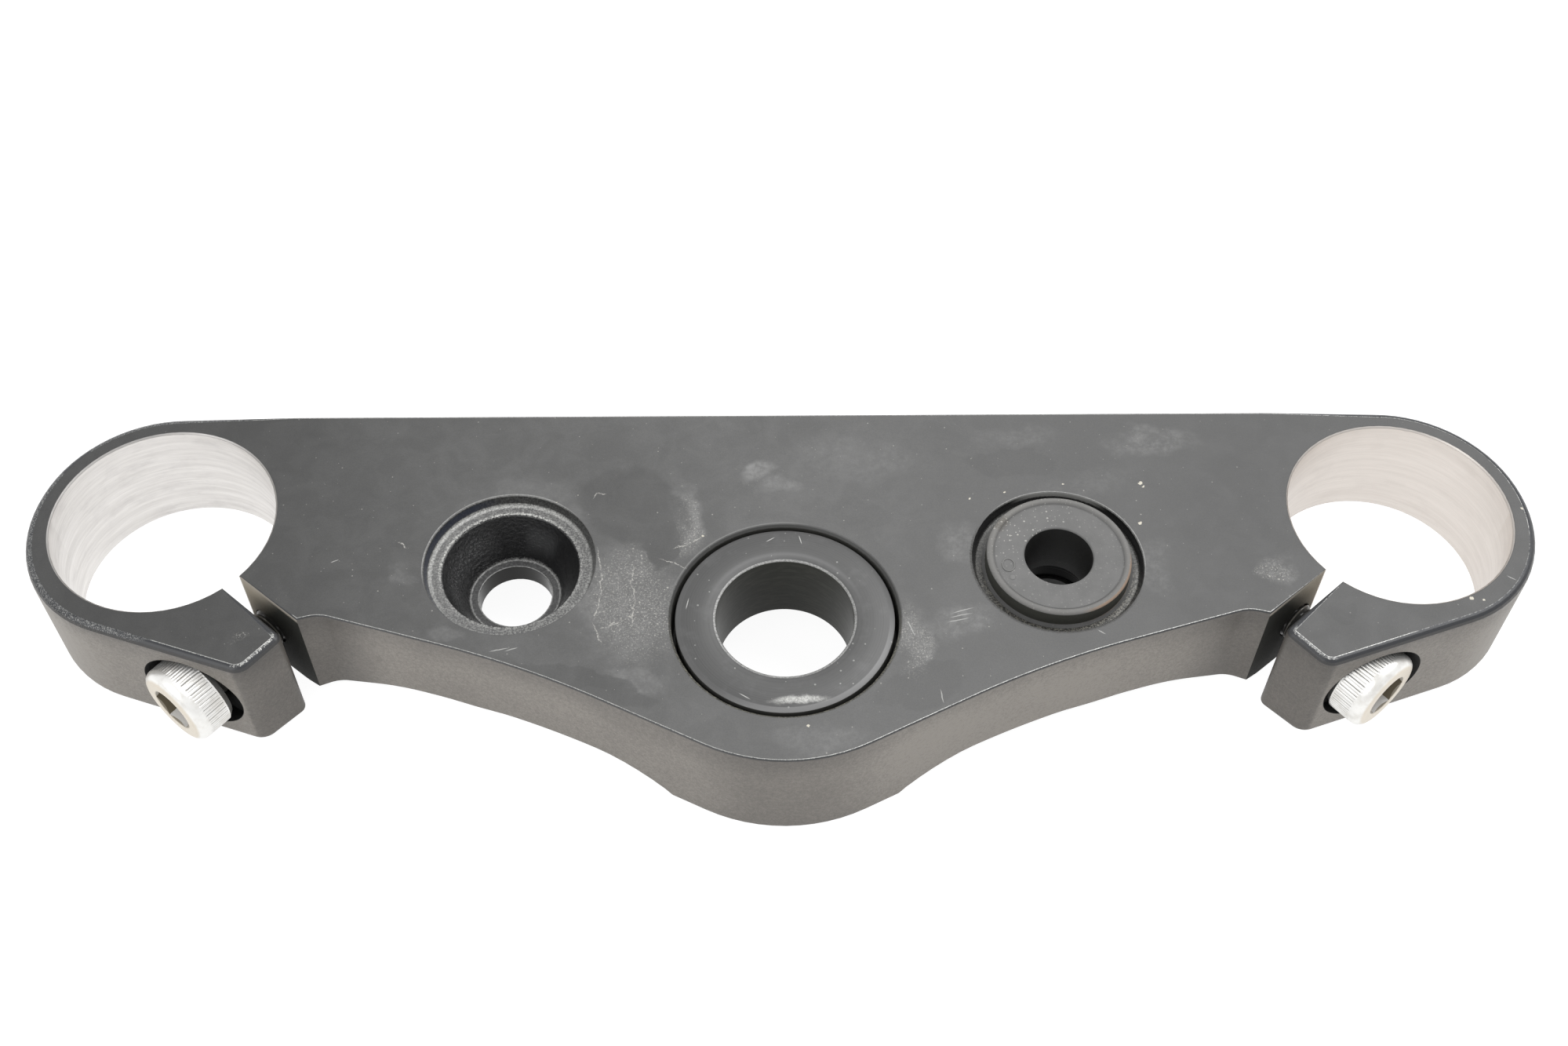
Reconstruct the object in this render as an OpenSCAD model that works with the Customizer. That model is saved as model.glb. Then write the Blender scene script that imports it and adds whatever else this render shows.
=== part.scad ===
// Upper triple clamp of a motorcycle fork: one machined casting that grips both fork tubes,
// holds a bush for the steering stem and has two sockets for rubber handlebar riser bushes.
// Millimetres. The origin is on the stem's axis, at half the plate's thickness.
// +X runs towards one fork tube, +Y forward (away from the rider) and +Z up along the stem.

/* [Fork clamps] */
// Distance between the axes of the two fork tubes
fork_spacing = 240; // [225:1:260]
// How far the fork tubes stand ahead of the stem's axis
fork_lead = 23.8; // [20:0.1:27]
// Diameter of the bore that grips a fork tube
fork_bore_d = 43.1; // [41:0.1:45]
// Wall of the clamp ring outside the bore
ring_wall = 4.1; // [3:0.1:6]
// Small bevel on both rims of the fork bore
bore_bevel = 0.35; // [0.1:0.05:1]

/* [Pinch ears] */
// Angle between the slot and the line through both fork axes
slot_angle = 39.7; // [35:0.1:44]
// Width of the slot
slot_w = 3.9; // [2:0.1:5]
// How far the slot's inner face lies beyond the line through the bore's axis
slot_shift = 0.4; // [0:0.1:1]
// Angle by which the ear's outer face closes on the slot
ear_taper = 20.7; // [17:0.1:23]
// How far the ear's outer face stands outside the clamp ring
ear_step = 1.25; // [0.8:0.05:1.8]
// Angle round the ring over which that step runs out
ear_blend = 91; // [60:1:110]
// From the screw's axis to the end face of the ear
ear_reach = 11.7; // [10.9:0.1:14]
// Corner radius of the ear at its outer face
ear_corner_r = 3.5; // [2.5:0.1:5]
// Corner radius of the ear beside the slot
ear_slot_corner_r = 1.8; // [1.6:0.1:2.5]

/* [Plate] */
// Thickness of the plate
plate_t = 24.6; // [23:0.1:28]
// Edge rounding of the clamp rings and the ears
ring_edge_r = 1.5; // [0.5:0.1:1.6]
// Edge rounding of the rest of the plate's upper face
plate_edge_r = 0.4; // [0.2:0.1:1]
// Edge rounding of the underside, apart from the ears
lower_edge_r = 0.9; // [0.2:0.1:1.4]
// Length over which the front edge's rounding fades away from a ring
edge_fade = 22; // [10:1:40]
// From the stem's axis to the rear tip of the nose
nose_reach = 30.8; // [29:0.1:36]
// Radius of the nose
nose_r = 33.4; // [30:0.1:38]
// Slope of the rear edge beside the nose
nose_slope = 26.8; // [22:0.1:30]
// How far the hollow of the rear edge lies inside a riser's axis
waist_inset = 4; // [0:0.1:10]
// Radius of the hollow of the rear edge
waist_r = 190; // [60:5:240]
// Length of the small hump beside the slot's mouth
hump_run = 3.9; // [3:0.1:6]
// Rise of the small hump beside the slot's mouth
hump_rise = 1.05; // [0.5:0.05:2]
// Radius of the small hump
hump_r = 7; // [3:0.5:9]
// From the screw's axis to the slot's mouth, on the plate's side
mouth_reach = 10.8; // [9:0.1:12]

/* [Underside] */
// How much thinner the arms are than the bosses, all taken from below
relief_depth = 5.9; // [4:0.1:7]
// Radius of the stem's boss at its foot
stem_boss_r = 31.9; // [30:0.1:34]
// Radius of the hollow between that boss and the arms
stem_cove_r = 7.5; // [4:0.5:9]
// How far a riser's boss stands below the arms
riser_boss_h = 3.1; // [2.5:0.1:5]
// Wall of a riser's boss outside its socket
riser_boss_wall = 3; // [2:0.1:4]
// Radius of the hollow round a riser's boss
riser_cove_r = 3; // [2:0.5:5]
// Steepness of the stem's and the risers' bosses
boss_flank = 75; // [60:1:80]
// Radius of the full thickness round a fork bore
fork_boss_r = 31.8; // [30:0.1:36]
// Slope from there up to the arms
fork_boss_slope = 15.6; // [12:0.1:30]
// Radius of the hollow where that slope meets the arms
fork_cove_r = 37; // [20:1:45]

/* [Stem seat] */
// Inner diameter of the stem bush
stem_d = 25.7; // [24:0.1:28]
// Outer diameter of the bush's sleeve
sleeve_d = 32; // [30:0.1:35]
// Outer diameter of the bush's flange
flange_d = 41.1; // [38:0.1:42]
// Thickness of the bush's flange
flange_t = 8; // [5:0.1:10]
// Bevel round the flange's upper edge
flange_bevel = 1.1; // [0.3:0.1:2]
// Bevel on both rims of the bush's hole
stem_bevel = 0.4; // [0.1:0.1:1]
// How far the flange's top lies under the plate's face
flange_drop = 0.15; // [0:0.05:1]
// Open ring round the flange, on the radius
flange_gap = 0.75; // [0.3:0.05:1.5]
// Bevel round the rim of the recess
recess_bevel = 0.6; // [0.2:0.1:1]
// Depth of the counterbore in the underside
under_depth = 8.1; // [5:0.1:9]
// Diameter of the counterbore in the underside
under_d = 41; // [36:0.1:44]
// Clearance on the radius between the sleeve and the plate
press_gap = 0.02; // [0.01:0.01:0.05]

/* [Riser sockets] */
// Distance between the axes of the two riser sockets
riser_spacing = 104.5; // [98:0.1:112]
// How far the riser axes lie behind the fork axes
riser_back = 11; // [8:0.1:12]
// Diameter of the socket's rim at the plate's face
socket_rim_d = 32.9; // [32:0.1:35]
// Outer diameter of the flat seat inside the rim
seat_outer_d = 31.2; // [29.8:0.1:31.5]
// Inner diameter of the flat seat, where the cone starts
seat_inner_d = 26.4; // [24:0.1:26.6]
// Depth of the flat seat
seat_depth = 2.2; // [1.5:0.1:3]
// Depth of the ledge at the foot of the upper cone
upper_depth = 11; // [9:0.1:12]
// Outer diameter of the ledge, at the foot of a cone
ledge_d = 17.5; // [15.5:0.1:18]
// Diameter of the neck in the web
neck_d = 14.2; // [13.4:0.1:15]
// Thickness of the web between the upper and the lower socket
web_t = 4.2; // [3:0.1:5.5]

/* [Riser bushes] */
// Diameter of the bolt hole in the rubber bushes
bush_hole_d = 13; // [10:0.1:13.2]
// How far a rubber bush stands out of its socket
bush_proud = 1.8; // [1:0.1:5]
// Diameter of a bush's collar
bush_collar_d = 27.6; // [26.8:0.1:28.6]
// Diameter of the flat face inside the collar's rim
bush_flat_d = 24.4; // [20:0.1:25]
// How far that face lies under the rim
bush_dish = 0.5; // [0.1:0.1:0.8]
// Bevel round the rim
bush_rim_bevel = 0.6; // [0.2:0.1:0.8]
// Flare of the collar's foot, on the radius
bush_flare = 0.6; // [0.2:0.1:0.8]
// Clearance between a rubber bush and its socket
bush_gap = 0.1; // [0.05:0.05:0.3]

/* [Pinch screws] */
// Thread diameter
screw_d = 8; // [6:0.5:8.5]
// From the fork bore's wall to the screw's axis
screw_offset = 5.25; // [5.1:0.05:6.5]
// Diameter of the head
head_d = 16.4; // [14:0.1:17]
// Height of the head
head_h = 8; // [6:0.1:9]
// Rounding of the head's front edge
head_round = 1.9; // [0.5:0.1:2.5]
// Bevel of the head's back edge
head_bevel = 0.8; // [0.3:0.1:1.5]
// Width across the flats of the hexagon socket
hex_w = 8; // [5:0.1:9]
// Depth of the hexagon socket
hex_depth = 4.5; // [3:0.1:5]
// Length under the head
screw_len = 32; // [26:1:36]
// How far the left screw is backed out from its seat
left_backed_out = 2.4; // [0.2:0.1:3]
// How far the right screw is backed out from its seat
right_backed_out = 0.7; // [0.2:0.1:3]
// Diameter of the angled counterbore round a head
counterbore_d = 18.9; // [17.6:0.1:20]
// Thickness of the ear under a head
seat_wall = 10.1; // [9.8:0.1:12]
// Clearance on the diameter where the screw passes the ear
shank_gap = 1; // [0.4:0.1:1.2]
// Clearance on the diameter in the tapped hole
thread_gap = 0.1; // [0.05:0.05:0.2]
// Bevel at the mouth of the tapped hole
thread_bevel = 0.7; // [0.2:0.1:0.9]
// Depth of the tapped hole past the screw's tip
tip_room = 3; // [1:0.5:5]

/* [Hidden] */

over = 1;
arc_step = 5;
arc_chord = 3;
edge_steps = 4;
cove_steps = 6;
blend_steps = 18;
relief_reach = 60;

half_t = plate_t / 2;
arm_z = -half_t + relief_depth;
bore_r = fork_bore_d / 2;
ring_r = bore_r + ring_wall;
fork_at = [fork_spacing / 2, fork_lead];
riser_at = [riser_spacing / 2, fork_lead - riser_back];

// Plan directions of a pinch ear: along the slot, and from the plate towards the ear
along = [-cos(slot_angle), -sin(slot_angle)];
across = [sin(slot_angle), -cos(slot_angle)];

// Places along the slot, from the bore's axis, and across it
screw_u = bore_r + screw_offset;
ear_u = screw_u + ear_reach;
mouth_u = screw_u + mouth_reach;
inner_u = bore_r - 3;
plate_n = -slot_shift;
ear_n = slot_w - slot_shift;
face_r = ring_r + ear_step;
corner_n = (face_r - ear_u * sin(ear_taper)) / cos(ear_taper);
face_a = slot_angle - 90 - ear_taper;
face_at = fork_at + face_r * [cos(face_a), sin(face_a)];
seat_n = ear_n + seat_wall;

// Depths of the stem seat, from the plate's middle
flange_top = half_t - flange_drop;
flange_foot = flange_top - flange_t;
sleeve_foot = -half_t + under_depth;
recess_r = flange_d / 2 + flange_gap;

// Depths of the riser sockets
seat_top = half_t - seat_depth;
ledge_top = half_t - upper_depth;
ledge_foot = ledge_top - web_t;
riser_foot = arm_z - riser_boss_h;
lower_seat = riser_foot + seat_depth;

function unit(v) = v / norm(v);
function at_ear(u, n) = fork_at + u * along + n * across;

// Points of an arc round c, each with the roundings e of the plate's upper and lower edge there
function arc(c, r, from, to, e) =
    let (turn = abs(to - from), n = ceil(max(turn / arc_step, r * turn * PI / 180 / arc_chord)))
    [for (i = [0:n]) let (a = from + (to - from) * i / n) [c.x + r * cos(a), c.y + r * sin(a), e.x, e.y]];

// The corner q between p and s, rounded with radius r
function corner(p, q, s, r, e) =
    let (
        a = unit(p - q),
        b = unit(s - q),
        half = acos(a * b) / 2,
        c = q + unit(a + b) * r / sin(half),
        start = q + a * r / tan(half) - c,
        from = atan2(start.y, start.x),
        turn = (a.x * b.y > a.y * b.x ? -1 : 1) * (180 - 2 * half)
    )
    arc(c, r, from, from + turn, e);

// The right half of the plate's outline: from the nose along the rear edge into the slot, then
// round the ear and the clamp ring to the front
plate_e = [plate_edge_r, lower_edge_r];
ring_e = [ring_edge_r, ring_edge_r];
slot_side_e = [ring_edge_r, plate_edge_r];
slot_end_e = [0, 0];
nose_c = [0, nose_r - nose_reach];
nose_end = nose_c + nose_r * [sin(nose_slope), -cos(nose_slope)];
waist_x = riser_at.x - waist_inset;
waist = [waist_x, nose_end.y + (waist_x - nose_end.x) * tan(nose_slope)];
mouth = at_ear(mouth_u, plate_n);
hump = mouth + [-hump_run, hump_rise];
rear_edge = concat(
    arc(nose_c, nose_r, -90, nose_slope - 90, plate_e),
    corner(nose_end, waist, hump, waist_r, plate_e),
    corner(waist, hump, mouth, hump_r, plate_e),
    [concat(mouth, plate_e)],
    [concat(at_ear(inner_u, plate_n), slot_end_e)]
);
ear_edge = concat(
    [concat(at_ear(inner_u, ear_n), slot_end_e)],
    corner(at_ear(inner_u, ear_n), at_ear(ear_u, ear_n), at_ear(ear_u, corner_n),
        ear_slot_corner_r, slot_side_e),
    corner(at_ear(ear_u, ear_n), at_ear(ear_u, corner_n), face_at, ear_corner_r, ring_e),
    [
        for (i = [0:blend_steps - 1])
        let (t = i / blend_steps, a = face_a + ear_blend * t, r = ring_r + ear_step * (1 + cos(180 * t)) / 2)
        concat(fork_at + r * [cos(a), sin(a)], ring_e)
    ],
    arc(fork_at, ring_r, face_a + ear_blend, 90, ring_e),
    [concat([fork_at.x - edge_fade, fork_at.y + ring_r], plate_e)]
);
right_half = concat(rear_edge, ear_edge);
outline = concat(
    right_half,
    [for (i = [len(right_half) - 1:-1:1]) let (p = right_half[i]) [-p.x, p.y, p.z, p[3]]]
);

// The plate's flat face in pieces, each seen whole from its first point
slot_i = len(rear_edge);
front_i = len(right_half) - 1;
last_i = len(outline) - 1;
far_slot_i = last_i + 1 - slot_i;
flat_face = [
    concat([front_i], [for (i = [0:slot_i]) i]),
    [for (i = [slot_i:front_i]) i],
    [0, front_i, front_i + 1],
    concat([far_slot_i], [for (i = [front_i + 1:far_slot_i - 1]) i]),
    concat([front_i + 1], [for (i = [far_slot_i:last_i]) i], [0])
];

// Outward direction at each outline point, lengthened at corners so that offsets stay parallel
function side_normal(p, q) = let (d = unit([q.x - p.x, q.y - p.y])) [d.y, -d.x];
function outward(pts) = [
    for (i = [0:len(pts) - 1])
    let (
        n = len(pts),
        a = side_normal(pts[(i + n - 1) % n], pts[i]),
        b = side_normal(pts[i], pts[(i + 1) % n])
    )
    (a + b) / (1 + a * b)
];

// The plate as a loft of insets of its outline, which rounds the upper and the lower edge
module plate() {
    n = len(outline);
    out = outward(outline);
    function ring(a, side) = [
        for (i = [0:n - 1])
        let (p = outline[i], e = side < 0 ? p[3] : p.z, inset = e * (1 - sin(a)))
        [p.x - out[i].x * inset, p.y - out[i].y * inset, side * (half_t - e * (1 - cos(a)))]
    ];
    turns = [for (i = [0:edge_steps]) 90 * i / edge_steps];
    rings = concat(
        [for (i = [0:edge_steps]) ring(turns[i], -1)],
        [for (i = [edge_steps:-1:0]) ring(turns[i], 1)]
    );
    top = n * (len(rings) - 1);
    polyhedron(
        points = [for (r = rings) for (p = r) p],
        faces = concat(
            flat_face,
            [for (k = [0:n:top - n]) for (i = [0:n - 1]) [k + i, k + n + i, k + (i + 1) % n]],
            [for (k = [n:n:top]) for (i = [0:n - 1]) [k + (i + 1) % n, k + (i + 1) % n - n, k + i]],
            [for (f = flat_face) [for (i = [0:len(f) - 1]) top + f[(len(f) - i) % len(f)]]]
        )
    );
}

// Both sides of the clamp, which mirror each other
module both_sides() {
    for (side = [0, 1]) mirror([side, 0, 0]) children();
}

// A boss of that height that the relief leaves standing: steep at its foot, then hollowed out
module boss(height, foot_r, flank, cove_r) {
    foot_z = height < relief_depth ? arm_z - height : -half_t - 2 * over;
    turn = min(flank, acos(1 - min(height / cove_r, 1)));
    run = (height - cove_r * (1 - cos(turn))) / tan(turn);
    end_r = foot_r + run + cove_r * sin(turn);
    cove = [
        for (i = [0:cove_steps])
        let (a = turn * (1 - i / cove_steps))
        [end_r - cove_r * sin(a), arm_z - cove_r * (1 - cos(a))]
    ];
    rotate_extrude($fn = 96) polygon(concat(
        [[0, foot_z], [foot_r, foot_z], [foot_r, arm_z - height]],
        cove,
        [[end_r, arm_z + over], [0, arm_z + over]]
    ));
}

// What is taken from below to thin the arms, up to the slots and to the bosses
module underside_relief() {
    slot_mid = (plate_n + ear_n) / 2;
    difference() {
        both_sides() translate([0, 0, -half_t - over]) linear_extrude(relief_depth + over) polygon([
            [-over, -relief_reach],
            at_ear(relief_reach, slot_mid),
            at_ear(bore_r, slot_mid),
            [fork_at.x - bore_r / 2, relief_reach],
            [-over, relief_reach]
        ]);
        boss(relief_depth, stem_boss_r, boss_flank, stem_cove_r);
        both_sides() {
            translate([riser_at.x, riser_at.y, 0])
                boss(riser_boss_h, socket_rim_d / 2 + riser_boss_wall, boss_flank, riser_cove_r);
            translate([fork_at.x, fork_at.y, 0])
                boss(relief_depth, fork_boss_r, fork_boss_slope, fork_cove_r);
        }
    }
}

// Turns a shape along Z into one along the pinch screw, starting n from the bore's axis
module on_pinch_axis(n) {
    p = at_ear(screw_u, n);
    translate([p.x, p.y, 0]) rotate([0, 0, slot_angle + 90]) rotate([0, 90, 0]) children();
}

module fork_bore() {
    translate([fork_at.x, fork_at.y, 0]) {
        cylinder(h = plate_t + 2 * over, r = bore_r, center = true, $fn = 120);
        for (side = [0, 1]) mirror([0, 0, side])
            translate([0, 0, half_t - bore_bevel])
                cylinder(h = bore_bevel + over, r1 = bore_r, r2 = bore_r + bore_bevel + over, $fn = 120);
    }
}

// Angled counterbore, clearance hole through the ear and tapped hole in the plate
module pinch_hole() {
    tap_r = (screw_d + thread_gap) / 2;
    depth = head_h + screw_len + tip_room;
    on_pinch_axis(face_r) cylinder(h = face_r - seat_n, d = counterbore_d, $fn = 72);
    on_pinch_axis(seat_n + over) cylinder(h = seat_n + over - ear_n / 2, d = screw_d + shank_gap, $fn = 48);
    on_pinch_axis(ear_n / 2) cylinder(h = ear_n / 2 - seat_n - head_h + depth, r = tap_r, $fn = 48);
    on_pinch_axis(plate_n + over)
        cylinder(h = over + thread_bevel, r1 = tap_r + thread_bevel + over, r2 = tap_r, $fn = 48);
}

// Upper cup, neck and lower cup of a riser socket, as one turned cut
module riser_socket() {
    translate([riser_at.x, riser_at.y, 0]) rotate_extrude($fn = 96) polygon([
        [0, half_t + over],
        [socket_rim_d / 2, half_t + over],
        [socket_rim_d / 2, half_t],
        [seat_outer_d / 2, seat_top],
        [seat_inner_d / 2, seat_top],
        [ledge_d / 2, ledge_top],
        [neck_d / 2, ledge_top],
        [neck_d / 2, ledge_foot],
        [ledge_d / 2, ledge_foot],
        [seat_inner_d / 2, lower_seat],
        [seat_outer_d / 2, lower_seat],
        [socket_rim_d / 2, riser_foot],
        [socket_rim_d / 2, -half_t - over],
        [0, -half_t - over]
    ]);
}

// Recess for the flange, bore for the sleeve and counterbore from below
module stem_seat() {
    sleeve_bore_r = sleeve_d / 2 + press_gap;
    rotate_extrude($fn = 120) polygon([
        [0, half_t + over],
        [recess_r + recess_bevel, half_t + over],
        [recess_r + recess_bevel, half_t],
        [recess_r, half_t - recess_bevel],
        [recess_r, flange_foot],
        [sleeve_bore_r, flange_foot],
        [sleeve_bore_r, sleeve_foot],
        [under_d / 2, sleeve_foot],
        [under_d / 2, -half_t - over],
        [0, -half_t - over]
    ]);
}

module clamp_body() {
    color("dimgray") difference() {
        plate();
        underside_relief();
        stem_seat();
        both_sides() {
            fork_bore();
            riser_socket();
            pinch_hole();
        }
    }
}

// Flanged bush that carries the steering stem
module stem_bush() {
    r = stem_d / 2;
    color("darkslategray") rotate_extrude($fn = 120) polygon([
        [r, sleeve_foot + stem_bevel],
        [r + stem_bevel, sleeve_foot],
        [sleeve_d / 2, sleeve_foot],
        [sleeve_d / 2, flange_foot],
        [flange_d / 2, flange_foot],
        [flange_d / 2, flange_top - flange_bevel],
        [flange_d / 2 - flange_bevel, flange_top],
        [r + stem_bevel, flange_top],
        [r, flange_top - stem_bevel]
    ]);
}

// Rubber bush over a socket's rim at the origin: a collar on the flat seat and a cone down to the ledge
module riser_bush(ledge_depth) {
    collar_r = bush_collar_d / 2;
    rotate_extrude($fn = 96) polygon([
        [bush_hole_d / 2, bush_gap - ledge_depth],
        [ledge_d / 2 - bush_gap, bush_gap - ledge_depth],
        [seat_inner_d / 2 - bush_gap, -seat_depth],
        [collar_r + bush_flare, -seat_depth],
        [collar_r, bush_flare - seat_depth],
        [collar_r, bush_proud - bush_rim_bevel],
        [collar_r - bush_rim_bevel, bush_proud],
        [bush_flat_d / 2 + bush_dish, bush_proud],
        [bush_flat_d / 2, bush_proud - bush_dish],
        [bush_hole_d / 2, bush_proud - bush_dish]
    ]);
}

module riser_bush_upper() {
    color("gray") translate([riser_at.x, riser_at.y, half_t]) riser_bush(upper_depth);
}

module riser_bush_lower() {
    color("gray") translate([riser_at.x, riser_at.y, riser_foot])
        mirror([0, 0, 1]) riser_bush(ledge_foot - riser_foot);
}

// Socket head cap screw along +Z, with the front of its head at the origin
module cap_screw() {
    r = head_d / 2;
    length = head_h + screw_len;
    tip = screw_d / 10;
    front = [for (a = [0:15:90]) [r - head_round * (1 - sin(a)), head_round * (1 - cos(a))]];
    difference() {
        rotate_extrude($fn = 96) polygon(concat([[0, 0]], front, [
            [r, head_h - head_bevel],
            [r - head_bevel, head_h],
            [screw_d / 2, head_h],
            [screw_d / 2, length - tip],
            [screw_d / 2 - tip, length],
            [0, length]
        ]));
        translate([0, 0, -over]) cylinder(h = hex_depth + over, d = hex_w / cos(30), $fn = 6);
    }
}

module clamp_screw_right() {
    color("lightgray") on_pinch_axis(seat_n + right_backed_out + head_h) cap_screw();
}

module clamp_screw_left() {
    color("lightgray") mirror([1, 0, 0]) on_pinch_axis(seat_n + left_backed_out + head_h) cap_screw();
}

clamp_body();
stem_bush();
riser_bush_upper();
riser_bush_lower();
clamp_screw_left();
clamp_screw_right();
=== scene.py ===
"""Looks of the motorcycle triple clamp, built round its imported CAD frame. Lengths named below are in mm."""

import math

import bmesh
import bpy
from mathutils import Matrix, Vector


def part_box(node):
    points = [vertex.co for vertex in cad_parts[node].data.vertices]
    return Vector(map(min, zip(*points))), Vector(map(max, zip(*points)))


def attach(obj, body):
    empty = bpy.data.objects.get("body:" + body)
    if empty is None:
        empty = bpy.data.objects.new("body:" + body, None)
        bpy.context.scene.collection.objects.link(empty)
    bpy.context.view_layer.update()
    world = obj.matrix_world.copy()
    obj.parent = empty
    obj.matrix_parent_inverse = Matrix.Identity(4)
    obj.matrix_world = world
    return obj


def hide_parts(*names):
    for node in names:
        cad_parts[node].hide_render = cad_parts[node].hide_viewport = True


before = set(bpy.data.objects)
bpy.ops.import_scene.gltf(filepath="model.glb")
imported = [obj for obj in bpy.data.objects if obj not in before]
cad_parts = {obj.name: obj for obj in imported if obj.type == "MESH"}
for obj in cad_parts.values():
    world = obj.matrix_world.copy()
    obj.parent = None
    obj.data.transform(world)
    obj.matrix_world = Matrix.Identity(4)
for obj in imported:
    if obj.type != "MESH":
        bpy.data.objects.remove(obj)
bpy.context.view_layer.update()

MM = 0.001

# Sizes of the part, as in its CAD
HALF_T = 12.3
FORK = (120.0, 23.8)
RISER = (52.25, 12.8)
SLOT_ANGLE = math.radians(39.7)
SLOT_ALONG = (-math.cos(SLOT_ANGLE), -math.sin(SLOT_ANGLE))
SLOT_ACROSS = (math.sin(SLOT_ANGLE), -math.cos(SLOT_ANGLE))
STEM_R = 12.85
SLEEVE_R = 16.0
FLANGE_T = 8.0
RECESS_R = 21.3
SOCKET_R = 16.44
SEAT_DEPTH = 2.2
NECK_R = 7.1
UPPER_LEDGE = 11.0
LOWER_LEDGE = 6.6
LOWER_RIM_Z = -9.5
# Height of a rubber bush's flat face over its socket's rim
BUSH_FACE = 1.3
# A screw's axis is SCREW_U along the slot, and its head's front HEAD_FRONT_N across it, from the fork bore
SCREW_U = 26.8
HEAD_FRONT_N = {"left": 24.0, "right": 22.3}
HEAD_R = 8.2
HEAD_H = 8.0
SCREW_R = 4.0
SCREW_LEN = 32.0
HEX_W = 8.0
HEX_DEPTH = 4.5
KNURLS = 80
THREAD_PITCH = 1.25
THREAD_H = 0.6
PLAIN_SHANK = 7.0

# The photograph's camera, solved from the outlines of the round holes
CAMERA_AT = (-4.06, -196.45, 300.08)
CAMERA_TURN = (37.2, -0.32, -0.66)
CAMERA_LENS = 42.906


# ---------------------------------------------------------------- camera, light and floor
def make_camera():
    data = bpy.data.cameras.new("camera")
    data.lens = CAMERA_LENS
    data.sensor_width = 36
    data.clip_start = 0.01
    cam = bpy.data.objects.new("camera", data)
    cam.location = [v * MM for v in CAMERA_AT]
    cam.rotation_euler = [math.radians(a) for a in CAMERA_TURN]
    bpy.context.scene.collection.objects.link(cam)
    bpy.context.scene.camera = cam


def area_lamp(name, place, size, power):
    """A white rectangular lamp that shines at the part."""
    data = bpy.data.lights.new(name, "AREA")
    data.shape = "RECTANGLE"
    data.size, data.size_y = size
    data.energy = power
    lamp = bpy.data.objects.new(name, data)
    lamp.location = place
    lamp.rotation_euler = (-Vector(place)).to_track_quat("-Z", "Y").to_euler()
    bpy.context.scene.collection.objects.link(lamp)


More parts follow.
